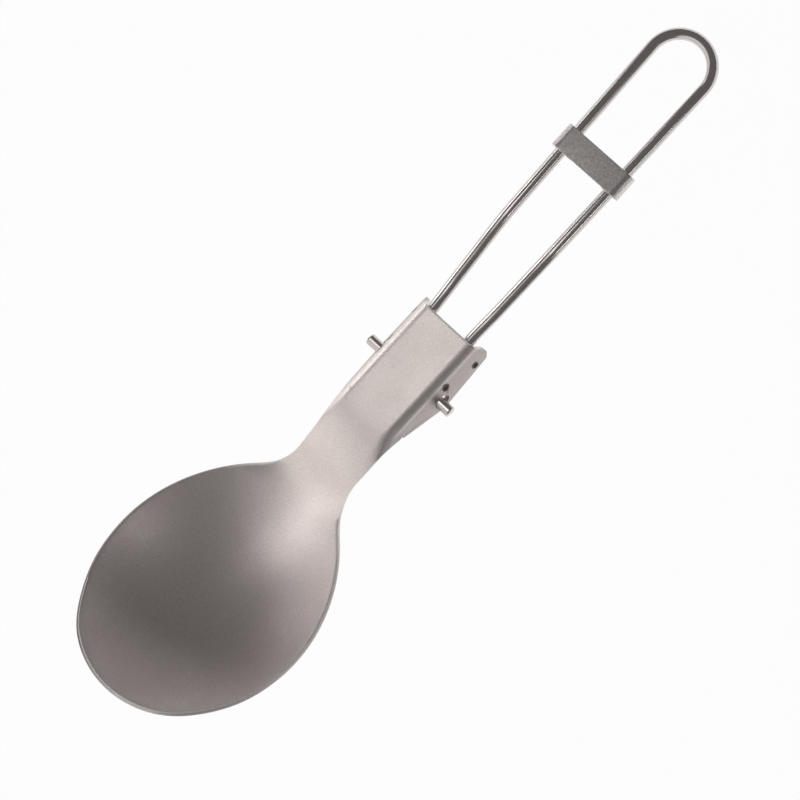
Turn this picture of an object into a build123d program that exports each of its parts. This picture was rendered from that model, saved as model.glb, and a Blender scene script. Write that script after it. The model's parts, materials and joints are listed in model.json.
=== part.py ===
from build123d import *
import copy
import math
import os

os.makedirs("parts", exist_ok=True)

# All lengths are in millimetres and all angles in degrees.
# The spoon lies along X with the bowl at -X; Y runs across it and Z points up.
# Shapes are drawn about the hinge axis, with the top of the web level at z = 0,
# and are then pitched and moved so that the open spoon rests on the ground.

# Sheet metal of the spoon head
sheet_thick = 0.9
tip_reach = 80.5
bowl_half_width = 21.15
neck_end_share = 0.118
sheet_overlap = 0.5
joint_step = 0.02

# Rim outline from the tip to the channel: distance from the hinge axis as a share of
# the tip reach, and half width as a share of the bowl's half width plus a share of the
# channel's half width
rim_reach_shares = (0.9865, 0.9495, 0.8856, 0.8167, 0.7477, 0.6899, 0.6087, 0.5398, 0.4709,
                    0.4254, 0.402, 0.3786, 0.3565, 0.3331, 0.3097, 0.2753, 0.2174, 0.1719,
                    0.1264)
rim_bowl_shares = (0.303, 0.561, 0.7765, 0.9156, 0.983, 1.0, 0.965, 0.879, 0.6256,
                   0.3612, 0.2322, 0.1293, 0.0675, 0.0271, 0.0, 0.0, 0.0, 0.0, 0.0)
rim_neck_shares = (0.0, 0.0, 0.0, 0.0, 0.0, 0.0, 0.0, 0.0, 0.3689, 0.8047, 0.9484, 1.0082,
                   1.0276, 1.0423, 1.0627, 1.053, 1.082, 1.12, 1.18)

# Height of the centre line, as shares of the bowl's drop below the web
bowl_drop = 12.5
line_reach_shares = (1.08, 1.0, 0.935, 0.843, 0.7505, 0.66, 0.566, 0.475, 0.406, 0.36, 0.3075,
                     0.2583, 0.209, 0.16, 0.128, 0.116, 0.09)
line_height_shares = (0.98, 0.45, 0.01, -0.504, -0.832, -0.992, -1.0, -0.88, -0.744, -0.624,
                      -0.448, -0.264, -0.12, -0.024, 0.0, 0.0, 0.0)

# Crosswise curve of the sheet: rise at the bowl's half width as shares of the drop
cross_reach_shares = (1.08, 1.0, 0.843, 0.66, 0.566, 0.475, 0.406, 0.36, 0.32, 0.27, 0.22,
                      0.172, 0.132, 0.116, 0.09)
cross_rise_shares = (0.707, 0.707, 0.715, 0.715, 0.692, 0.655, 0.67, 0.595, 0.149, -0.85,
                     -1.78, -1.15, -0.25, 0.0, 0.0)

# Where the neck's edges start to curl down and where they follow the channel's bends
curl_start_share = 0.22
curl_full_share = 0.12

# Lines of the surface patch across half the sheet, close together at the bends
cross_line_shares = (0.0, 0.14, 0.28, 0.42, 0.53, 0.6, 0.64, 0.68, 0.72, 0.76, 0.8, 0.84, 0.89,
                     0.94, 1.0)

# Channel with down-turned flanges
web_flat_half = 4.76
bend_radius = 2.2
flange_flare = 18.9
flange_run = 9.0
web_end = 11.9
lobe_reach = 13.2
lobe_depth = 4.4
lobe_top = 1.6
lobe_round = 1.0
flange_front_depth = 3.85
flange_end_depth = 5.95
flange_end_reach = 12.3
flange_pivot_depth = 7.1
pivot_round = 3.0

# Hinge
pivot_depth = 5.2
pin_slack = 0.06
hinge_hole_length = 3.27

# Pressed dimples that hold the open wires, measured from the hinge axis
near_dimple_reach = 2.7
near_dimple_depth = 2.6
near_dimple_radius = 1.05
far_dimple_reach = 9.72
far_dimple_depth = 4.85
far_dimple_radius = 0.85
dimple_sink = 0.5
dimple_wall = 0.75

# Wire handle
wire_radius = 1.15
pin_reach = 10.7
pin_bend = 2.0
pin_end_round = 0.3
leg_half_gap = 4.75
stop_gap = 0.05
curve_end = 36.0
curve_half_gap = 5.85
curve_height = 1.5
leg_rise = 3.2
leg_spread = 0.89
loop_start = 75.8
# Slight sway of each leg ahead of its straight part, as shares of the values there
sway_reach_shares = (0.547, 0.7, 0.86)
sway_gap_shares = (0.918, 0.94, 0.972)
sway_height_shares = (-0.5, 0.0667, 0.6)

# Sliding keeper around both wires
keeper_reach = 52.4
keeper_length = 5.15
keeper_thick = 0.55
keeper_gap = 0.12
keeper_corner = 1.2
keeper_lip_half_gap = 4.0
keeper_edge_round = 0.12
keeper_travel_out = 21.0

# Attitude of the open spoon on level ground
rest_pitch = 7.3

# Slack by which cutting shapes overrun the metal
overrun = 5.0
grid_margin = 1.2
grid_beyond = 4.0
grid_steps_long = 44
fit_tolerance = 0.001
solver_steps = 20


def second_slopes(places, values):
    """Second derivatives of the natural cubic curve through the given values."""
    count = len(places)
    slopes = [0.0] * count
    work = [0.0] * count
    for i in range(1, count - 1):
        span = places[i + 1] - places[i - 1]
        share = (places[i] - places[i - 1]) / span
        pivot = share * slopes[i - 1] + 2
        slopes[i] = (share - 1) / pivot
        rise_next = (values[i + 1] - values[i]) / (places[i + 1] - places[i])
        rise_last = (values[i] - values[i - 1]) / (places[i] - places[i - 1])
        work[i] = (6 * (rise_next - rise_last) / span - share * work[i - 1]) / pivot
    for i in range(count - 2, -1, -1):
        slopes[i] = slopes[i] * slopes[i + 1] + work[i]
    return slopes


def curve_through(places, values):
    """Function giving the natural cubic curve through values at rising places."""
    slopes = second_slopes(places, values)

    def height(place):
        high = 1
        while high < len(places) - 1 and places[high] < place:
            high += 1
        low = high - 1
        span = places[high] - places[low]
        a = (places[high] - place) / span
        b = (place - places[low]) / span
        bend = (a ** 3 - a) * slopes[low] + (b ** 3 - b) * slopes[high]
        return a * values[low] + b * values[high] + bend * span ** 2 / 6

    return height


def stations(reach_shares, value_shares, scale):
    """Curve along X from shares of the tip reach and shares of a size."""
    places = [-tip_reach * share for share in reach_shares]
    values = [scale * share for share in value_shares]
    return curve_through(places, values)


centre_line = stations(line_reach_shares, line_height_shares, bowl_drop)
cross_rise = stations(cross_reach_shares, cross_rise_shares, bowl_drop)
neck_end = -tip_reach * neck_end_share


def bend_corner():
    """Half width at which the web's and a flange's outer faces would meet."""
    return web_flat_half + bend_radius * math.tan(math.radians((90 - flange_flare) / 2))


rim_widths = [bowl_half_width * bowl + bend_corner() * neck
              for bowl, neck in zip(rim_bowl_shares, rim_neck_shares)]
rim_half_width = stations(rim_reach_shares, rim_widths, 1)


def edge_curl(x):
    """Share of the channel's bend that the sheet's edges have at a place."""
    start = -tip_reach * curl_start_share
    full = -tip_reach * curl_full_share
    way = min(1.0, max(0.0, (x - start) / (full - start)))
    return way ** 2 * (3 - 2 * way)


def bend_drop(beyond):
    """Drop of the folded sheet at a distance beyond the flat of the web."""
    inner = bend_radius - joint_step
    turn = math.radians(90 - flange_flare)
    if beyond <= 0:
        return 0.0
    if beyond < inner * math.sin(turn):
        return inner - math.sqrt(inner ** 2 - beyond ** 2)
    return inner * (1 - math.cos(turn)) + (beyond - inner * math.sin(turn)) * math.tan(turn)


def sheet_height(x, y):
    """Height of the head's upper skin."""
    rise = cross_rise(x) * (y / bowl_half_width) ** 2
    return centre_line(x) + rise - edge_curl(x) * bend_drop(abs(y) - web_flat_half)


def grid_half_width(x):
    """Half width of the surface patch, a little beyond the rim."""
    widest = -tip_reach * rim_reach_shares[5]
    if x < widest:
        return bowl_half_width + grid_margin
    return rim_half_width(min(x, neck_end)) + grid_margin


def head_skin():
    """Upper skin of bowl and neck, cut to the rim outline."""
    start = -tip_reach - grid_margin
    end = neck_end + grid_beyond
    cross = [-share for share in cross_line_shares[:0:-1]] + list(cross_line_shares)
    rows = []
    for i in range(grid_steps_long + 1):
        x = start + (end - start) * i / grid_steps_long
        half = grid_half_width(x)
        rows.append([Vector(x, half * share, sheet_height(x, half * share) - joint_step)
                     for share in cross])
    skin = Face.make_surface_from_array_of_points(rows, tol=fit_tolerance, min_deg=3)
    return skin & rim_blank()


def rim_blank():
    """Upright block with the plan outline of bowl and neck."""
    left = []
    for reach, width in zip(rim_reach_shares, rim_widths):
        left.append((-tip_reach * reach, width))
    right = [(x, -y) for x, y in left]
    neck_half = left[-1][1]
    back = neck_end + sheet_overlap
    outline = Spline(right[::-1] + [(-tip_reach, 0)] + left)
    outline += Polyline(left[-1], (back, neck_half), (back, -neck_half), right[-1])
    return extrude(make_face(outline), amount=2 * bowl_drop, both=True)


def head_sheet():
    """Bowl and neck as sheet of even thickness with square-cut edges."""
    return Solid.thicken(head_skin(), -sheet_thick)


def channel_wall():
    """Web and flared flanges as a folded strip along X."""
    lean_side = flange_run * math.sin(math.radians(flange_flare))
    lean_down = flange_run * math.cos(math.radians(flange_flare))
    corner = bend_corner()
    bends = [(-corner - lean_side, -lean_down), (-corner, 0), (corner, 0),
             (corner + lean_side, -lean_down)]
    section_plane = Plane(origin=(neck_end, 0, 0), x_dir=(0, 1, 0), z_dir=(1, 0, 0))
    skin_line = FilletPolyline(*bends, radius=bend_radius)
    section = make_face(offset(skin_line, sheet_thick + 2 * joint_step, side=Side.RIGHT))
    return extrude(section_plane * section, amount=lobe_reach - neck_end)


def near(vertex, place):
    """True where a corner of a flat outline lies at the given place."""
    return abs(vertex.X - place[0]) < joint_step and abs(vertex.Y - place[1]) < joint_step


def channel_side():
    """Side outline of the channel as a block across the whole width."""
    low_front = (neck_end, -flange_front_depth)
    low_pivot = (0, -flange_pivot_depth)
    low_end = (flange_end_reach, -flange_end_depth)
    lobe = (lobe_reach, -lobe_depth)
    outline = make_face(Polyline((neck_end, overrun), low_front, low_pivot, low_end, lobe,
                                 (web_end, -lobe_top), (web_end, overrun), close=True))
    outline = fillet([v for v in outline.vertices() if near(v, low_pivot)], pivot_round)
    ends = [v for v in outline.vertices() if near(v, low_end) or near(v, lobe)]
    outline = fillet(ends, lobe_round)
    return extrude(Plane.XZ * outline, amount=2 * bowl_half_width, both=True)


def flange_point(x, depth):
    """Point on the left flange's outer face at a depth below the web's top."""
    return Vector(x, bend_corner() + depth * math.tan(math.radians(flange_flare)), -depth)


def dimple_balls(x, depth, radius):
    """Inner and outer ball of one pressed dimple in the left flange."""
    lean = math.radians(flange_flare)
    outward = Vector(0, math.cos(lean), math.sin(lean))
    ball_radius = (radius ** 2 + dimple_sink ** 2) / (2 * dimple_sink)
    centre = flange_point(x, depth) + outward * (ball_radius - dimple_sink)
    inner = Pos(*centre) * Sphere(ball_radius)
    outer = Pos(*centre) * Sphere(ball_radius + dimple_wall)
    reach = dimple_wall + overrun
    middle = centre - outward * (ball_radius - dimple_sink + sheet_thick / 2)
    block = Plane(origin=middle, z_dir=outward)
    inside = block * Pos(0, 0, -reach / 2) * Box(reach, reach, reach)
    return inner, outer & inside


def pressed_dimples(channel):
    """Channel with two dimples pressed inwards in each flange."""
    places = ((near_dimple_reach, near_dimple_depth, near_dimple_radius),
              (far_dimple_reach, far_dimple_depth, far_dimple_radius))
    for x, depth, radius in places:
        inner, bump = dimple_balls(x, depth, radius)
        channel = channel + bump + mirror(bump, about=Plane.XZ)
        channel = channel - inner - mirror(inner, about=Plane.XZ)
    return channel


def hinge_slot():
    """Long hinge hole through both flanges, its front end round the pins."""
    hole_radius = wire_radius + pin_slack
    centre = Pos(hinge_hole_length / 2 - hole_radius, -pivot_depth)
    slot = centre * SlotOverall(hinge_hole_length, 2 * hole_radius)
    return extrude(Plane.XZ * slot, amount=2 * bowl_half_width, both=True)


def spoon_head():
    """Bowl, neck and flanged channel in one sheet."""
    channel = channel_wall() & channel_side()
    channel = pressed_dimples(channel) - hinge_slot()
    return head_sheet() + channel


def leg_start_rise():
    """Angle at which the wire legs climb from the hinge to the web's end."""
    rise = 0.0
    for step in range(solver_steps):
        clear = (wire_radius + stop_gap) / math.cos(rise)
        rise = math.atan((pivot_depth - sheet_thick - clear) / web_end)
    return rise


def straight_direction():
    """Direction of the left leg's straight part."""
    rise = math.radians(leg_rise)
    spread = math.radians(leg_spread)
    return Vector(math.cos(rise) * math.cos(spread), math.sin(spread),
                  math.sin(rise) * math.cos(spread))


def slide_direction():
    """Direction in which the keeper slides, in the middle between the legs."""
    rise = math.radians(leg_rise)
    return Vector(math.cos(rise), 0, math.sin(rise))


def leg_place(x):
    """Point on the left leg's straight part at a distance from the hinge."""
    way = straight_direction()
    return Vector(curve_end, curve_half_gap, curve_height) + way * ((x - curve_end) / way.X)


def left_leg():
    """Centre line of the left leg from its pin's end to the loop."""
    rise = leg_start_rise()
    climb = Vector(math.cos(rise), 0, math.sin(rise))
    pin_end = Vector(0, pin_reach, -pivot_depth)
    bend_start = Vector(0, leg_half_gap + pin_bend, -pivot_depth)
    bend_end = Vector(0, leg_half_gap, -pivot_depth) + climb * pin_bend
    bend_middle = (Vector(0, leg_half_gap + pin_bend, -pivot_depth) + climb * pin_bend
                   - (climb + Vector(0, 1, 0)).normalized() * pin_bend)
    web_place = bend_end + climb * ((web_end - bend_end.X) / climb.X)
    sway = [web_place]
    for reach_share, gap_share, height_share in zip(sway_reach_shares, sway_gap_shares,
                                                    sway_height_shares):
        sway.append(Vector(curve_end * reach_share, curve_half_gap * gap_share,
                           curve_height * height_share))
    sway.append(leg_place(curve_end))
    return [Line(pin_end, bend_start), ThreePointArc(bend_start, bend_middle, bend_end),
            Line(bend_end, web_place),
            Spline(sway, tangents=[climb, straight_direction()]),
            Line(leg_place(curve_end), leg_place(loop_start))]


def wire_handle():
    """One bent wire: two legs joined by a round loop, with pins turned outwards."""
    left = left_leg()
    start = leg_place(loop_start)
    loop_radius = start.Y / math.cos(math.radians(leg_spread))
    loop_offset = loop_radius * math.sin(math.radians(leg_spread))
    apex = Vector(start.X, 0, start.Z) + slide_direction() * (loop_offset + loop_radius)
    loop = ThreePointArc(start, apex, Vector(start.X, -start.Y, start.Z))
    right = [mirror(edge, about=Plane.XZ) for edge in left]
    path = Wire([edge.edge() for edge in left + [loop] + right[::-1]])
    end_plane = Plane(origin=(0, pin_reach, -pivot_depth), z_dir=(0, -1, 0))
    wire = sweep(end_plane * Circle(wire_radius), path=path)
    ends = [e for e in wire.edges() if abs(abs(e.center().Y) - pin_reach) < joint_step]
    return fillet(ends, pin_end_round)


def sliding_keeper():
    """Band folded round both legs, open along the underside between its lips."""
    widest = leg_place(keeper_reach + keeper_travel_out).Y
    half_width = widest + wire_radius + keeper_gap
    half_height = wire_radius + keeper_gap
    skin_line = FilletPolyline((-keeper_lip_half_gap, -half_height), (-half_width, -half_height),
                               (-half_width, half_height), (half_width, half_height),
                               (half_width, -half_height), (keeper_lip_half_gap, -half_height),
                               radius=keeper_corner)
    section = make_face(offset(skin_line, keeper_thick, side=Side.LEFT))
    middle = Vector(leg_place(keeper_reach).X, 0, leg_place(keeper_reach).Z)
    plane = Plane(origin=middle, x_dir=(0, 1, 0), z_dir=slide_direction())
    band = extrude(plane * section, amount=keeper_length / 2, both=True)
    return fillet(band.edges(), keeper_edge_round)


def resting(shapes):
    """Shapes pitched to rest on the ground, centred over the origin."""
    pitched = [Rotation(0, rest_pitch, 0) * shape for shape in shapes]
    box = Compound(children=[copy.copy(shape) for shape in pitched]).bounding_box()
    move = Pos(-box.center().X, -box.center().Y, -box.min.Z)
    return [move * shape for shape in pitched], move


nodes = {"spoon_head": spoon_head(), "wire_handle": wire_handle(),
         "sliding_keeper": sliding_keeper()}
placed, move = resting(list(nodes.values()))
for name, shape in zip(nodes, placed):
    export_step(shape, "parts/" + name + ".step")
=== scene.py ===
import json
import math

import bmesh
import bpy
from mathutils import Matrix, Vector
from mathutils.bvhtree import BVHTree


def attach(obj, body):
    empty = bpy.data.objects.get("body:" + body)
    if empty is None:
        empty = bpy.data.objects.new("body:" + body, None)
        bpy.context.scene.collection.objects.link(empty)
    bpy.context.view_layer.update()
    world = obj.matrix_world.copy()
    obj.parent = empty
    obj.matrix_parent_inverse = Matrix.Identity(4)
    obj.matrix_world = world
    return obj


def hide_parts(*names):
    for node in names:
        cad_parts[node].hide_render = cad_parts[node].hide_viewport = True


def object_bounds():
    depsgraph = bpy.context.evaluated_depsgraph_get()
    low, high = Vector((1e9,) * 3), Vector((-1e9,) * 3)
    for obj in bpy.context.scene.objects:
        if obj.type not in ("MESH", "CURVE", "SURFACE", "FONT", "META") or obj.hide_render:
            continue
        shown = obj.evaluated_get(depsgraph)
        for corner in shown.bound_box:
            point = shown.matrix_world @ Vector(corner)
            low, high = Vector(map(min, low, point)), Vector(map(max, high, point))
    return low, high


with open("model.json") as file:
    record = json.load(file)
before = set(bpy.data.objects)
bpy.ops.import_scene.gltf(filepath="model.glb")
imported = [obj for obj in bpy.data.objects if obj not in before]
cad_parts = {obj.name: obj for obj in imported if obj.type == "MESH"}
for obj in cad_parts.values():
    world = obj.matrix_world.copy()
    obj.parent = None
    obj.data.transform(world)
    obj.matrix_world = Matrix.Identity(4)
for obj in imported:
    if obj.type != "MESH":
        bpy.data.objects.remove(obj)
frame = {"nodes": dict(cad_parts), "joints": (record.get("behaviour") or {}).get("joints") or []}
cad_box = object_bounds()
scene = bpy.context.scene

# Camera, with lengths in metres and angles in degrees
AIM = Vector((-0.0064, -0.0031, 0.0082))
SIDE_TILT = 14.0
REST_PITCH = 7.3
ROLL = 47.3
DISTANCE = 0.65
FIELD = 0.1496
SENSOR = 36.0
NEAREST = 0.01
FARTHEST = 20.0


def camera_axes():
    """Right, up and backward directions of the camera."""
    tilt, pitch, roll = (math.radians(a) for a in (SIDE_TILT, REST_PITCH, ROLL))
    along = Vector((math.cos(pitch), 0.0, -math.sin(pitch)))
    back = Vector((math.cos(tilt) * math.sin(pitch), -math.sin(tilt),
                   math.cos(tilt) * math.cos(pitch)))
    across = along.cross(back)
    right = along * math.cos(roll) + across * math.sin(roll)
    up = along * math.sin(roll) - across * math.cos(roll)
    return right, up, back


def add_camera():
    """Camera above the web, turned so that the handle points to the upper right."""
    right, up, back = camera_axes()
    data = bpy.data.cameras.new("camera")
    data.sensor_width = SENSOR
    data.lens = SENSOR * DISTANCE / FIELD
    data.clip_start = NEAREST
    data.clip_end = FARTHEST
    camera = bpy.data.objects.new("camera", data)
    scene.collection.objects.link(camera)
    turn = Matrix((right, up, back)).transposed().to_4x4()
    camera.matrix_world = Matrix.Translation(AIM + back * DISTANCE) @ turn
    scene.camera = camera


def add_node(tree, kind, **values):
    """Shader node of a kind with its properties and named inputs set."""
    node = tree.nodes.new(kind)
    for name, value in values.items():
        if hasattr(node, name):
            setattr(node, name, value)
        else:
            node.inputs[name.replace("_", " ")].default_value = value
    return node


def feed(tree, socket, value):
    """Links an input to another socket, or sets it to a constant."""
    if isinstance(value, bpy.types.NodeSocket):
        tree.links.new(value, socket)
    else:
        socket.default_value = value


def maths(tree, operation, *values):
    """Output of a math node fed by sockets or numbers."""
    node = add_node(tree, "ShaderNodeMath", operation=operation)
    for socket, value in zip(node.inputs, values):
        feed(tree, socket, value)
    return node.outputs[0]


def ranged(tree, value, limits, results=(0.0, 1.0), way="LINEAR"):
    """Output of a value carried from its limits to the results."""
    node = add_node(tree, "ShaderNodeMapRange", interpolation_type=way)
    names = ("Value", "From Min", "From Max", "To Min", "To Max")
    for name, given in zip(names, (value, *limits, *results)):
        feed(tree, node.inputs[name], given)
    return node.outputs["Result"]


def mixed(tree, share, first, second, blend="MIX", kind="RGBA"):
    """Output of a mix of two colours or numbers."""
    node = add_node(tree, "ShaderNodeMix", data_type=kind, blend_type=blend)
    for name, given in zip(("Factor", "A", "B"), (share, first, second)):
        feed(tree, node.inputs[name], given)
    return node.outputs["Result"]


def attribute(tree, name):
    """Output of an attribute of the mesh."""
    return add_node(tree, "ShaderNodeAttribute", attribute_name=name).outputs["Fac"]


def new_group(name, inputs, outputs):
    """Empty shader node group with named sockets; returns the group and its two ends."""
    group = bpy.data.node_groups.new(name, "ShaderNodeTree")
    for label, kind, value in inputs:
        socket = group.interface.new_socket(name=label, in_out="INPUT", socket_type=kind)
        if value is not None:
            socket.default_value = value
    for label in outputs:
        group.interface.new_socket(name=label, in_out="OUTPUT", socket_type="NodeSocketFloat")
    return group, group.nodes.new("NodeGroupInput"), group.nodes.new("NodeGroupOutput")


# Grain of the metal, its scales in repeats per metre
PIT_SCALE = 4600.0
CLOUD_SCALE = 70.0
PATCH_SCALE = 210.0
PATCH_LIMITS = (0.56, 0.66)
SCRATCH_SCALE = 160.0
SCRATCH_TURN = (0.0, 0.0, 0.6)
SCRATCH_STRETCH = (1.0, 0.07, 0.3)
SCRATCH_WIDTH = 0.012


def blasted_grain():
    """Fine pits of a blasted surface with a few light scratches."""
    group, start, end = new_group(
        "blasted_grain",
        [("Position", "NodeSocketVector", None), ("Pit Scale", "NodeSocketFloat", PIT_SCALE),
         ("Scratch Scale", "NodeSocketFloat", SCRATCH_SCALE)],
        ["Height", "Speckle", "Cloud", "Scratches"])
    link = group.links.new
    position = start.outputs["Position"]
    pits = add_node(group, "ShaderNodeTexNoise", Detail=3.0, Roughness=0.65)
    link(start.outputs["Pit Scale"], pits.inputs["Scale"])
    cloud = add_node(group, "ShaderNodeTexNoise", Scale=CLOUD_SCALE, Detail=4.0, Roughness=0.6)
    patch = add_node(group, "ShaderNodeTexNoise", Scale=PATCH_SCALE, Detail=2.0)
    stretch = add_node(group, "ShaderNodeMapping", Rotation=SCRATCH_TURN, Scale=SCRATCH_STRETCH)
    for node in (pits, cloud, patch, stretch):
        link(position, node.inputs["Vector"])
    lines = add_node(group, "ShaderNodeTexVoronoi", feature="DISTANCE_TO_EDGE")
    link(stretch.outputs["Vector"], lines.inputs["Vector"])
    link(start.outputs["Scratch Scale"], lines.inputs["Scale"])
    thin = ranged(group, lines.outputs["Distance"], (0.0, SCRATCH_WIDTH), (1.0, 0.0))
    few = ranged(group, patch.outputs["Fac"], PATCH_LIMITS)
    link(pits.outputs["Fac"], end.inputs["Height"])
    link(pits.outputs["Fac"], end.inputs["Speckle"])
    link(cloud.outputs["Fac"], end.inputs["Cloud"])
    link(maths(group, "MULTIPLY", thin, few), end.inputs["Scratches"])
    return group


# Names of the attributes that mark faces
PAINTED_SHADE = "painted_shade"
WORN_HIGHLIGHT_EDGE = "worn_highlight_edge"

# Finish that all the metals share
NOISE_LIMITS = (0.3, 0.7)
# Pale tone of worn edges, partly wear and partly a painted highlight
WORN_HIGHLIGHT_TONE = (0.97, 0.95, 0.93, 1)
WORN_ROUGHNESS = 0.85
PIT_DEPTH = 0.00002


def metal(name, grain):
    """Metal material with its grain group fed by the piece's own coordinates."""
    material = bpy.data.materials.new(name)
    material.use_nodes = True
    tree = material.node_tree
    shader = tree.nodes["Principled BSDF"]
    shader.inputs["Metallic"].default_value = 1.0
    place = tree.nodes.new("ShaderNodeTexCoord").outputs["Object"]
    marks = add_node(tree, "ShaderNodeGroup", node_tree=grain)
    tree.links.new(place, marks.inputs["Position"])
    return material, tree, shader, place, marks


def speckles(tree, marks, results):
    """Share of the tone that the grain's speckle leaves."""
    return ranged(tree, marks.outputs["Speckle"], NOISE_LIMITS, results)


def finish(tree, shader, marks, tone, rough_results, relief):
    """Worn edges with a pale tone that is partly a painted highlight, cloudy roughness and
    pitted relief on a metal of a tone.
    """
    wear_and_highlight = attribute(tree, WORN_HIGHLIGHT_EDGE)
    # Worn edges get a pale tone that is partly wear and partly a painted highlight
    feed(tree, shader.inputs["Base Color"], mixed(tree, wear_and_highlight, tone, WORN_HIGHLIGHT_TONE))
    rough = ranged(tree, marks.outputs["Cloud"], NOISE_LIMITS, rough_results)
    dulled = mixed(tree, wear_and_highlight, rough, WORN_ROUGHNESS, kind="FLOAT")
    feed(tree, shader.inputs["Roughness"], dulled)
    bump = add_node(tree, "ShaderNodeBump", Strength=relief, Distance=PIT_DEPTH)
    feed(tree, bump.inputs["Height"], marks.outputs["Height"])
    feed(tree, shader.inputs["Normal"], bump.outputs["Normal"])


# Tones of the spoon head, with painted shade in the bowl, towards the tip and on the flanges,
# and the places in metres between which they change
BOWL_SHADED_TONE = (0.81, 0.722, 0.705, 1)
NECK_TONE = (0.84, 0.76, 0.725, 1)
BOWL_TO_NECK_X = (-0.047, -0.029)
FLANGE_SHADE = (0.7, 0.7, 0.71, 1)
WEB_TO_FLANGE_Y = (0.0066, 0.0072)
NECK_TO_FLANGE_X = (-0.017, -0.0125)
# Tone that the painted shade in the dimples and on the rim's cut edge multiplies in
PAINTED_SHADE_TONE = (0.36, 0.34, 0.34, 1)
# Painted shade towards the bowl's tip: where it starts and ends along X, and the share of tone
# left at the tip
TIP_TO_BOWL_X = (-0.08, -0.058)
TIP_SHADE_SHARE = 0.74
HEAD_SPECKLE = (0.84, 1.14)
HEAD_ROUGHNESS = (0.43, 0.51)
HEAD_RELIEF = 0.35
SCRATCH_TONE = (0.95, 0.9, 0.87, 1)
SCRATCH_SHARE = 0.3


def blasted_titanium(grain):
    """Blasted titanium of the spoon head, with painted shade in the bowl, towards the tip, on
    the flanges, in the dimples and on the left of the rim's cut edge.
    """
    material, tree, shader, place, marks = metal("blasted_titanium", grain)
    split = tree.nodes.new("ShaderNodeSeparateXYZ")
    tree.links.new(place, split.inputs[0])
    x, y = split.outputs["X"], split.outputs["Y"]
    # Painted shade: the bowl's tone is a little darker than the neck's and stands in for the
    # shade in its hollow
    tone = mixed(tree, ranged(tree, x, BOWL_TO_NECK_X, way="SMOOTHSTEP"), BOWL_SHADED_TONE, NECK_TONE)
    beside = ranged(tree, maths(tree, "ABSOLUTE", y), WEB_TO_FLANGE_Y, way="SMOOTHSTEP")
    behind = ranged(tree, x, NECK_TO_FLANGE_X, way="SMOOTHSTEP")
    flange = maths(tree, "MULTIPLY", beside, behind)
    tone = mixed(tree, flange, tone, FLANGE_SHADE, "MULTIPLY")
    # Painted shade in the dimples and on the left side of the bowl's cut edge
    tone = mixed(tree, attribute(tree, PAINTED_SHADE), tone, PAINTED_SHADE_TONE, "MULTIPLY")
    # Painted shade: the tone darkens towards the bowl's tip
    tip = ranged(tree, x, TIP_TO_BOWL_X, (TIP_SHADE_SHARE, 1.0), "SMOOTHSTEP")
    share = maths(tree, "MULTIPLY", speckles(tree, marks, HEAD_SPECKLE), tip)
    tone = mixed(tree, 1.0, tone, share, "MULTIPLY")
    scratches = maths(tree, "MULTIPLY", marks.outputs["Scratches"], SCRATCH_SHARE)
    tone = mixed(tree, scratches, tone, SCRATCH_TONE)
    finish(tree, shader, marks, tone, HEAD_ROUGHNESS, HEAD_RELIEF)
    return material


WIRE_TONE = (0.66, 0.61, 0.59, 1)
WIRE_SPECKLE = (0.9, 1.06)
WIRE_ROUGHNESS = (0.14, 0.24)
WIRE_RELIEF = 0.01
WIRE_PIT_SCALE = 2600.0


def polished_wire(grain):
    """Drawn and polished wire with fine pits and a few duller patches."""
    material, tree, shader, _, marks = metal("polished_wire", grain)
    marks.inputs["Pit Scale"].default_value = WIRE_PIT_SCALE
    tone = mixed(tree, 1.0, WIRE_TONE, speckles(tree, marks, WIRE_SPECKLE), "MULTIPLY")
    finish(tree, shader, marks, tone, WIRE_ROUGHNESS, WIRE_RELIEF)
    return material


BAND_TONE = (0.7, 0.65, 0.63, 1)
BAND_SPECKLE = (0.72, 1.3)
BAND_ROUGHNESS = (0.24, 0.42)
BAND_RELIEF = 0.5
BAND_PIT_SCALE = 2200.0


def satin_band(grain):
    """Satin band folded round the wires, with a coarse rolled grain."""
    material, tree, shader, _, marks = metal("satin_band", grain)
    marks.inputs["Pit Scale"].default_value = BAND_PIT_SCALE
    tone = mixed(tree, 1.0, BAND_TONE, speckles(tree, marks, BAND_SPECKLE), "MULTIPLY")
    finish(tree, shader, marks, tone, BAND_ROUGHNESS, BAND_RELIEF)
    return material


# Welding distances in metres, and the fold in degrees from which an edge is sharp
SKIN_WELD = 0.000002
CAP_WELD = 0.000001
EDGE_ANGLE = 38.0


def is_fold(edge):
    """Whether an edge is sharp."""
    return edge.is_manifold and edge.calc_face_angle() > math.radians(EDGE_ANGLE)


def select_where(mesh, kind, rule):
    """Selects, in edit mode, the points or the edges that a rule picks."""
    bpy.ops.mesh.select_mode(type=kind)
    bpy.ops.mesh.select_all(action="DESELECT")
    shape = bmesh.from_edit_mesh(mesh)
    for item in shape.verts if kind == "VERT" else shape.edges:
        item.select_set(rule(item))
    bmesh.update_edit_mesh(mesh)


def mark_faces(mesh, name, share_of):
    """Attribute that holds, all over each face, the share that a function gives it."""
    mark = mesh.attributes.new(name, "FLOAT", "CORNER")
    for face in mesh.polygons:
        share = share_of(face)
        for corner in face.loop_indices:
            mark.data[corner].value = share


def smooth_shading():
    """Smooth shading of the active piece between its sharp edges."""
    bpy.ops.object.shade_smooth_by_angle(angle=math.radians(EDGE_ANGLE))


def even_shading(piece):
    """Smooth shading in which large flat faces stay flat."""
    smooth_shading()
    even = piece.modifiers.new("even_shading", "WEIGHTED_NORMAL")
    even.mode = "FACE_AREA"
    even.keep_sharp = True
    bpy.ops.object.modifier_apply(modifier=even.name)


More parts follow.
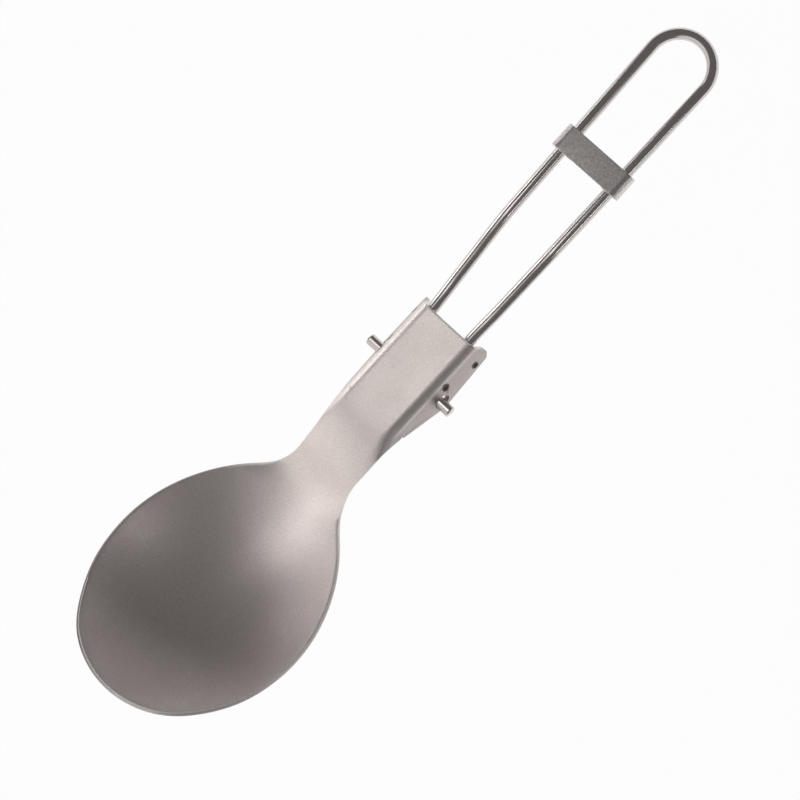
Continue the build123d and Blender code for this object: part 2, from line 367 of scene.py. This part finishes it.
def chosen_object(name, data):
    """New object in the scene, the only one selected and the active one."""
    bpy.ops.object.select_all(action="DESELECT")
    piece = bpy.data.objects.new(name, data)
    scene.collection.objects.link(piece)
    bpy.context.view_layer.objects.active = piece
    piece.select_set(True)
    return piece


def welded_copy(node, name):
    """Copy of a CAD node, its triangles joined into one skin, left in edit mode."""
    mesh = node.data.copy()
    mesh.name = name
    piece = chosen_object(name, mesh)
    bpy.ops.mesh.customdata_custom_splitnormals_clear()
    bpy.ops.object.mode_set(mode="EDIT")
    bpy.ops.mesh.select_mode(type="EDGE")
    bpy.ops.mesh.select_all(action="SELECT")
    bpy.ops.mesh.remove_doubles(threshold=SKIN_WELD)
    return piece


# Bowl's rim: middle line along X, rounding in metres, and how far its faces turn
BOWL_RIM_END = -0.03
BOWL_MIDDLE = -0.062
RIM_ROUND = 0.00024
RIM_LEAST_UP = 0.1
RIM_LEAST_OUT = 0.4
RIM_INNER_UP = 0.3


def out_of_bowl(place):
    """Level direction from the bowl's middle line to a place on its rim."""
    middle = Vector((min(max(place.x, BOWL_MIDDLE), BOWL_RIM_END), 0.0, 0.0))
    return Vector((place.x - middle.x, place.y, 0.0)).normalized()


def is_cut_edge(place, normal):
    """Whether a face lies on the sheet's cut edge round the bowl."""
    return (place.x < BOWL_RIM_END and normal.z > RIM_LEAST_UP
            and normal.dot(out_of_bowl(place)) > RIM_LEAST_OUT)


def is_inner_rim(edge):
    """Whether an edge is where the cut edge meets the bowl's inside."""
    faces = edge.link_faces
    cut = sum(is_cut_edge(face.calc_center_median(), face.normal) for face in faces)
    return len(faces) == 2 and cut == 1 and all(face.normal.z > RIM_INNER_UP for face in faces)


# Web's cut end, and how far its faces turn
WEB_END_X = 0.0089
WEB_LEAST_Z = 0.0045
WEB_END_FORWARD = 0.2
WEB_END_UP = 0.25
ACROSS_SHARE = 0.9
END_ROUND = 0.0004


def is_web_end(place, normal):
    """Whether a face lies on the rounded end of the web."""
    return (place.x > WEB_END_X and place.z > WEB_LEAST_Z
            and normal.x > WEB_END_FORWARD and normal.z > WEB_END_UP)


def is_web_end_edge(edge):
    """Whether an edge is a sharp one across the end of the web."""
    start, end = (point.co for point in edge.verts)
    across = abs(start.y - end.y) > ACROSS_SHARE * edge.calc_length()
    return (is_fold(edge) and across and min(start.x, end.x) > WEB_END_X
            and min(start.z, end.z) > WEB_LEAST_Z)


# Places across the spoon, left being more, between which the rim's worn edge and its painted
# highlight fade out
WORN_HIGHLIGHT_FULL_Y = 0.009
WORN_HIGHLIGHT_NONE_Y = 0.015


def clamped(share):
    """A share kept between none and all."""
    return min(max(share, 0.0), 1.0)


def head_wear_and_highlight(face):
    """How worn a face of the head is, its pale tone partly a painted highlight that fades out to
    the left: the rim's last bevel and the end of the web.
    """
    if is_web_end(face.center, face.normal):
        return 1.0
    fade = (WORN_HIGHLIGHT_NONE_Y - face.center.y) / (WORN_HIGHLIGHT_NONE_Y - WORN_HIGHLIGHT_FULL_Y)
    return clamped(fade) if face.select else 0.0


# Dimples by X, Z and radius, and where the painted shade on the rim's cut edge goes from none to
# full
DIMPLES = ((0.0007, 0.0039, 0.0009), (0.0071, 0.001, 0.00075))
FLANGE_LEAST_Y = 0.006
RIM_FADE = 0.01
CUT_SHADE_NONE_Y = -0.006
CUT_SHADE_FULL_Y = 0.01


def is_in_dimple(place):
    """Whether a place lies in a pressed dimple of one of the flanges."""
    return abs(place.y) > FLANGE_LEAST_Y and any(
        math.hypot(place.x - x, place.z - z) < radius for x, z, radius in DIMPLES)


def head_painted_shade(face):
    """How much painted shade a face of the head gets: all of it in the dimples, and on the
    bowl's cut edge more towards the left side.
    """
    if is_in_dimple(face.center):
        return 1.0
    if not is_cut_edge(face.center, face.normal):
        return 0.0
    side = clamped((face.center.y - CUT_SHADE_NONE_Y) / (CUT_SHADE_FULL_Y - CUT_SHADE_NONE_Y))
    return side * min((BOWL_RIM_END - face.center.x) / RIM_FADE, 1.0)


# Places along the spoon with the share of levelling, and how the neck's arch is measured
NECK_ZONE = ((-0.037, 0.0), (-0.026, 1.0), (-0.009, 1.0))
LEVEL_SHARE = 0.85
SIDE_SHARE = 0.24
PROBE = 0.004
PROBE_HEIGHT = 1.0


def neck_weight(x):
    """How fully the neck is levelled at a place along it."""
    for (x0, w0), (x1, w1) in zip(NECK_ZONE, NECK_ZONE[1:]):
        if x0 <= x <= x1:
            way = (x - x0) / (x1 - x0)
            return w0 + (w1 - w0) * way * way * (3.0 - 2.0 * way)
    return 0.0


def level_neck(mesh):
    """Takes most of the arch out of the neck, its outline staying where the camera has it."""
    tree = BVHTree.FromPolygons([point.co for point in mesh.vertices],
                                [tuple(face.vertices) for face in mesh.polygons])
    down = Vector((0.0, 0.0, -1.0))
    for point in mesh.vertices:
        weight = neck_weight(point.co.x)
        if weight > 0.0:
            right, middle, left = (
                tree.ray_cast(Vector((point.co.x, y, PROBE_HEIGHT)), down)[0].z
                for y in (-PROBE, 0.0, PROBE))
            arch = (middle - 0.5 * (right + left)) / PROBE ** 2
            rise = LEVEL_SHARE * weight * arch * point.co.y ** 2
            point.co.z += rise
            point.co.y -= SIDE_SHARE * rise


# Seam between neck and web, in metres
NECK_JOIN = -0.0118
JOIN_ZONE = 0.0008
JOIN_LEAST_Z = 0.0058
JOIN_WELD = 0.00005


def is_near_join(point):
    """Whether a point lies by the seam between neck and web."""
    return abs(point.co.x - NECK_JOIN) < JOIN_ZONE and point.co.z > JOIN_LEAST_Z


def pressed_head():
    """Spoon head with its neck welded flush to the web and the web's cut edge rounded."""
    piece = welded_copy(frame["nodes"]["spoon_head"], "pressed_head")
    mesh = piece.data
    select_where(mesh, "VERT", is_near_join)
    bpy.ops.mesh.remove_doubles(threshold=JOIN_WELD)
    select_where(mesh, "EDGE", is_web_end_edge)
    bpy.ops.mesh.bevel(offset=END_ROUND, segments=3, profile=0.5, clamp_overlap=False)
    select_where(mesh, "EDGE", is_inner_rim)
    bpy.ops.mesh.bevel(offset=RIM_ROUND, segments=2, profile=0.5, clamp_overlap=False)
    bpy.ops.object.mode_set(mode="OBJECT")
    mark_faces(mesh, WORN_HIGHLIGHT_EDGE, head_wear_and_highlight)
    mark_faces(mesh, PAINTED_SHADE, head_painted_shade)
    level_neck(mesh)
    even_shading(piece)
    return piece


# Keeper's middle along X, and how far the faces of its worn edge, with its painted highlight,
# turn
KEEPER_MIDDLE = 0.0505
KEEPER_BACKWARD = -0.25
KEEPER_UP = 0.05


def keeper_wear_and_highlight(face):
    """How worn a face of the keeper is, its pale tone partly a painted highlight: its rounded
    edge towards the bowl.
    """
    wear_and_highlight = (face.center.x < KEEPER_MIDDLE and face.normal.x < KEEPER_BACKWARD
            and face.normal.z > KEEPER_UP)
    return 1.0 if wear_and_highlight else 0.0


def folded_keeper():
    """Keeper band with its rounded edges as the CAD gives them."""
    piece = welded_copy(frame["nodes"]["sliding_keeper"], "folded_keeper")
    bpy.ops.object.mode_set(mode="OBJECT")
    mark_faces(piece.data, WORN_HIGHLIGHT_EDGE, keeper_wear_and_highlight)
    even_shading(piece)
    return piece


# Wire handle, its places in metres from the hinge axis with the web level
HINGE = Vector(frame["joints"][0]["pos_m"])
WIRE_RADIUS = 0.00115
WIRE_SIDES = 6
WIRE_STEPS = 16
PIN_REACH = 0.0107
PIN_BEND = 0.002
PIN_END_ROUND = 0.0003
LEG_HALF_GAP = 0.00475
LEG_START_RISE = 14.6
WEB_END = 0.0119
SWAY_PLACES = ((0.019692, 0.00516, 0.00425), (0.0252, 0.00541, 0.00512),
               (0.03096, 0.005686, 0.0061))
STRAIGHT_START = (0.036, 0.00585, 0.0067)
LOOP_START = 0.0758
LEG_RISE = 3.2
LEG_SPREAD = 0.89
THIRD = 0.3333
QUARTER_TURN = 0.3905


def way_at(rise, spread):
    """Direction along the handle, climbing and spreading by two angles."""
    rise, spread = math.radians(rise), math.radians(spread)
    return Vector((math.cos(rise) * math.cos(spread), math.sin(spread),
                   math.sin(rise) * math.cos(spread)))


def left_stations():
    """Places and directions from the left pin's end to the loop's far end."""
    climb = way_at(LEG_START_RISE, 0.0)
    inward = Vector((0.0, -1.0, 0.0))
    bend_start = Vector((0.0, LEG_HALF_GAP + PIN_BEND, 0.0))
    bend_end = Vector((0.0, LEG_HALF_GAP, 0.0)) + climb * PIN_BEND
    web_place = bend_end + climb * ((WEB_END - bend_end.x) / climb.x)
    straight = way_at(LEG_RISE, LEG_SPREAD)
    start = Vector(STRAIGHT_START)
    loop_start = start + straight * ((LOOP_START - start.x) / straight.x)
    radius = loop_start.y / math.cos(math.radians(LEG_SPREAD))
    reach = radius * (1.0 + math.sin(math.radians(LEG_SPREAD)))
    apex = Vector((loop_start.x, 0.0, loop_start.z)) + way_at(LEG_RISE, 0.0) * reach
    sway = [web_place] + [Vector(place) for place in SWAY_PLACES] + [start]
    middle = [(here, (after - before).normalized())
              for before, here, after in zip(sway, sway[1:], sway[2:])]
    places = [(Vector((0.0, PIN_REACH, 0.0)), inward), (bend_start, inward),
              (bend_end, climb), (web_place, climb)]
    places += middle + [(start, straight), (loop_start, straight), (apex, inward)]
    shares = [THIRD, QUARTER_TURN] + [THIRD] * (len(places) - 4) + [QUARTER_TURN]
    return places, shares


def mirrored(station):
    """Station on the right side, run through in the other direction."""
    place, way = station
    return Vector((place.x, -place.y, place.z)), Vector((-way.x, way.y, -way.z))


def wire_line():
    """Curve along the middle of the wire, as thick as the wire and closed at its ends."""
    places, shares = left_stations()
    places += [mirrored(station) for station in places[-2::-1]]
    shares += shares[::-1]
    turn = Matrix.Rotation(math.radians(REST_PITCH), 3, "Y")
    line = bpy.data.curves.new("bent_wire", "CURVE")
    line.dimensions = "3D"
    line.bevel_depth = WIRE_RADIUS
    line.bevel_resolution = WIRE_SIDES
    line.resolution_u = WIRE_STEPS
    line.use_fill_caps = True
    spline = line.splines.new("BEZIER")
    spline.bezier_points.add(len(places) - 1)
    for i, (point, (place, way)) in enumerate(zip(spline.bezier_points, places)):
        before = (place - places[i - 1][0]).length * shares[i - 1] if i else PIN_BEND
        after = (places[i + 1][0] - place).length * shares[i] if i < len(shares) else PIN_BEND
        point.co = HINGE + turn @ place
        point.handle_left = HINGE + turn @ (place - way * before)
        point.handle_right = HINGE + turn @ (place + way * after)
    return line


def bent_wire():
    """One round wire along its line, with rounded pin ends."""
    chosen_object("bent_wire", wire_line())
    bpy.ops.object.convert(target="MESH")
    piece = bpy.context.object
    bpy.ops.object.mode_set(mode="EDIT")
    bpy.ops.mesh.select_all(action="SELECT")
    bpy.ops.mesh.remove_doubles(threshold=CAP_WELD)
    bpy.ops.mesh.normals_make_consistent(inside=False)
    select_where(piece.data, "EDGE", is_fold)
    bpy.ops.mesh.bevel(offset=PIN_END_ROUND, segments=4, profile=0.5)
    bpy.ops.object.mode_set(mode="OBJECT")
    smooth_shading()
    return piece


def dress(piece, material, node, body):
    """Gives a finish to a piece that stands for a CAD node and moves with its body."""
    piece.data.materials.clear()
    piece.data.materials.append(material)
    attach(piece, body)
    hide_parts(node)


# Studio, with lengths in metres
WHITE = (1, 1, 1, 1)
FLOOR_DROP = 0.0044
FLOOR_SIZE = 4.0
FLOOR_TONE = (0.9, 0.9, 0.9, 1)
FLOOR_ROUGHNESS = 0.9
FLOOR_GLOW_SHARE = 0.97


def stage_material(name, tone, roughness):
    """Plain matt material for a thing of the studio, with its node tree and its shader."""
    material = bpy.data.materials.new(name)
    material.use_nodes = True
    shader = material.node_tree.nodes["Principled BSDF"]
    shader.inputs["Base Color"].default_value = tone
    shader.inputs["Roughness"].default_value = roughness
    return material, material.node_tree, shader


def add_floor():
    """Plain pale ground that keeps the shadow, below the lowest place of the folded handle."""
    bpy.ops.mesh.primitive_plane_add(size=FLOOR_SIZE,
                                     location=(0.0, 0.0, cad_box[0].z - FLOOR_DROP))
    floor = bpy.context.object
    floor.name = "floor"
    material, tree, shader = stage_material("pale_floor", FLOOR_TONE, FLOOR_ROUGHNESS)
    glow = add_node(tree, "ShaderNodeEmission", Color=WHITE, Strength=1.0)
    path = tree.nodes.new("ShaderNodeLightPath")
    seen = maths(tree, "MAXIMUM", path.outputs["Is Camera Ray"], path.outputs["Is Glossy Ray"])
    seen = maths(tree, "MAXIMUM", seen, path.outputs["Is Transmission Ray"])
    mix = tree.nodes.new("ShaderNodeMixShader")
    share = maths(tree, "MULTIPLY", seen, FLOOR_GLOW_SHARE)
    for socket, source in zip(mix.inputs, (share, shader.outputs[0], glow.outputs[0])):
        tree.links.new(source, socket)
    tree.links.new(mix.outputs[0], tree.nodes["Material Output"].inputs["Surface"])
    floor.data.materials.append(material)


WORLD_GLOW = 0.87
BACKGROUND_GLOW = 0.98


def add_world():
    """White surroundings, seen by the camera and by the metal."""
    world = bpy.data.worlds.new("studio")
    scene.world = world
    world.use_nodes = True
    tree = world.node_tree
    back = tree.nodes["Background"]
    back.inputs["Color"].default_value = WHITE
    seen = tree.nodes.new("ShaderNodeLightPath").outputs["Is Camera Ray"]
    level = ranged(tree, seen, (0.0, 1.0), (WORLD_GLOW, BACKGROUND_GLOW))
    tree.links.new(level, back.inputs["Strength"])


HOOD_RADIUS = 1.3
HOOD_SEGMENTS = 64
HOOD_RINGS = 32
HOOD_BASE = 0.02
HOOD_GLOW = 0.15
BRIGHT_WAY = Vector((-0.95, 0.31, 0.0))
BRIGHT_SHARE = 0.5
GAP_SIDE_SHARE = 0.8
GAP_TOP_SHARE = 0.45
GAP_END_SHARE = 0.05


def is_in_gap(face):
    """Whether a face of the hood lies where its low gap is to be."""
    x, y, z = face.calc_center_median() / HOOD_RADIUS
    return y > GAP_SIDE_SHARE and z < GAP_TOP_SHARE and x < GAP_END_SHARE


def add_hood():
    """Dark studio hood over and to the right of the spoon, open towards the bright side."""
    bpy.ops.mesh.primitive_uv_sphere_add(segments=HOOD_SEGMENTS, ring_count=HOOD_RINGS,
                                         radius=HOOD_RADIUS, location=(0.0, 0.0, 0.0))
    hood = bpy.context.object
    hood.name = "hood"
    bpy.ops.object.mode_set(mode="EDIT")
    bpy.ops.mesh.select_all(action="SELECT")
    bpy.ops.mesh.bisect(plane_co=(0, 0, HOOD_BASE), plane_no=(0, 0, 1), clear_inner=True)
    bpy.ops.mesh.select_all(action="SELECT")
    bpy.ops.mesh.bisect(plane_co=BRIGHT_WAY * BRIGHT_SHARE * HOOD_RADIUS,
                        plane_no=BRIGHT_WAY, clear_outer=True)
    shell = bmesh.from_edit_mesh(hood.data)
    gap = [face for face in shell.faces if is_in_gap(face)]
    bmesh.ops.delete(shell, geom=gap, context="FACES")
    bmesh.update_edit_mesh(hood.data)
    bpy.ops.object.mode_set(mode="OBJECT")
    material = bpy.data.materials.new("dark_hood")
    material.use_nodes = True
    tree = material.node_tree
    glow = add_node(tree, "ShaderNodeEmission", Color=WHITE, Strength=HOOD_GLOW)
    tree.links.new(glow.outputs[0], tree.nodes["Material Output"].inputs["Surface"])
    hood.data.materials.append(material)
    hood.visible_camera = False


FLAG_TONE = (0.02, 0.02, 0.02, 1)
FLAG_ROUGHNESS = 0.9
FLAG_DROP = 0.9 * FLOOR_DROP
FLAG_NEAR_Y = -0.03
FLAG_FAR_Y = -0.6
FLAG_LEFT_X = -0.02
FLAG_RIGHT_X = 0.03


def add_flag():
    """Dark studio flag flat on the ground to the right of the channel."""
    bpy.ops.mesh.primitive_plane_add(size=1.0, location=(0.0, 0.0, 0.0))
    flag = bpy.context.object
    flag.name = "flag"
    flag.scale = (FLAG_RIGHT_X - FLAG_LEFT_X, FLAG_NEAR_Y - FLAG_FAR_Y, 1.0)
    flag.location = (0.5 * (FLAG_LEFT_X + FLAG_RIGHT_X), 0.5 * (FLAG_NEAR_Y + FLAG_FAR_Y),
                     cad_box[0].z - FLAG_DROP)
    flag.data.materials.append(stage_material("dark_flag", FLAG_TONE, FLAG_ROUGHNESS)[0])
    flag.visible_camera = False
    flag.visible_shadow = False
    flag.visible_diffuse = False


# Name, place, aim, size, watts and spread in degrees of each lamp
LAMPS = (
    ("web_softbox", (0.021, 0.03, 0.13), (0.008, 0.0, 0.008), 0.06, 0.0009, 36.0),
    ("bend_softbox", (0.02, -0.006, 0.13), (0.004, -0.005, 0.007), 0.04, 0.0003, 26.0),
    ("neck_softbox", (-0.036, 0.03, 0.13), (-0.014, 0.0, 0.008), 0.05, 0.0003, 30.0),
    ("bowl_softbox", (-0.091, 0.04, 0.076), (-0.038, -0.001, 0.003), 0.025, 0.00014, 18.0),
    ("side_softbox", (0.0, 0.11, 0.045), (0.0, 0.006, 0.006), 0.05, 0.0009, 30.0),
    ("rim_softbox", (-0.01, -0.123, 0.065), (-0.055, 0.017, 0.01), 0.04, 0.00035, 35.0),
    ("keeper_left", (0.05, 0.09, 0.035), (0.05, 0.009, 0.004), 0.04, 0.00012, 12.0),
    ("keeper_right", (0.05, -0.09, 0.035), (0.05, -0.009, 0.004), 0.04, 0.00012, 12.0),
)


def add_lamp(name, place, aim, size, watts, spread):
    """Square soft lamp at a place, turned to its aim."""
    data = bpy.data.lights.new(name, "AREA")
    data.size = size
    data.energy = watts
    data.spread = math.radians(spread)
    lamp = bpy.data.objects.new(name, data)
    scene.collection.objects.link(lamp)
    lamp.visible_camera = False
    way = Vector(aim) - Vector(place)
    lamp.matrix_world = (Matrix.Translation(Vector(place))
                         @ way.to_track_quat("-Z", "Y").to_matrix().to_4x4())


add_camera()
add_world()
add_floor()
add_hood()
add_flag()
for lamp in LAMPS:
    add_lamp(*lamp)
grain = blasted_grain()
dress(pressed_head(), blasted_titanium(grain), "spoon_head", "head")
dress(bent_wire(), polished_wire(grain), "wire_handle", "handle")
dress(folded_keeper(), satin_band(grain), "sliding_keeper", "keeper")

scene.view_settings.view_transform = "Standard"
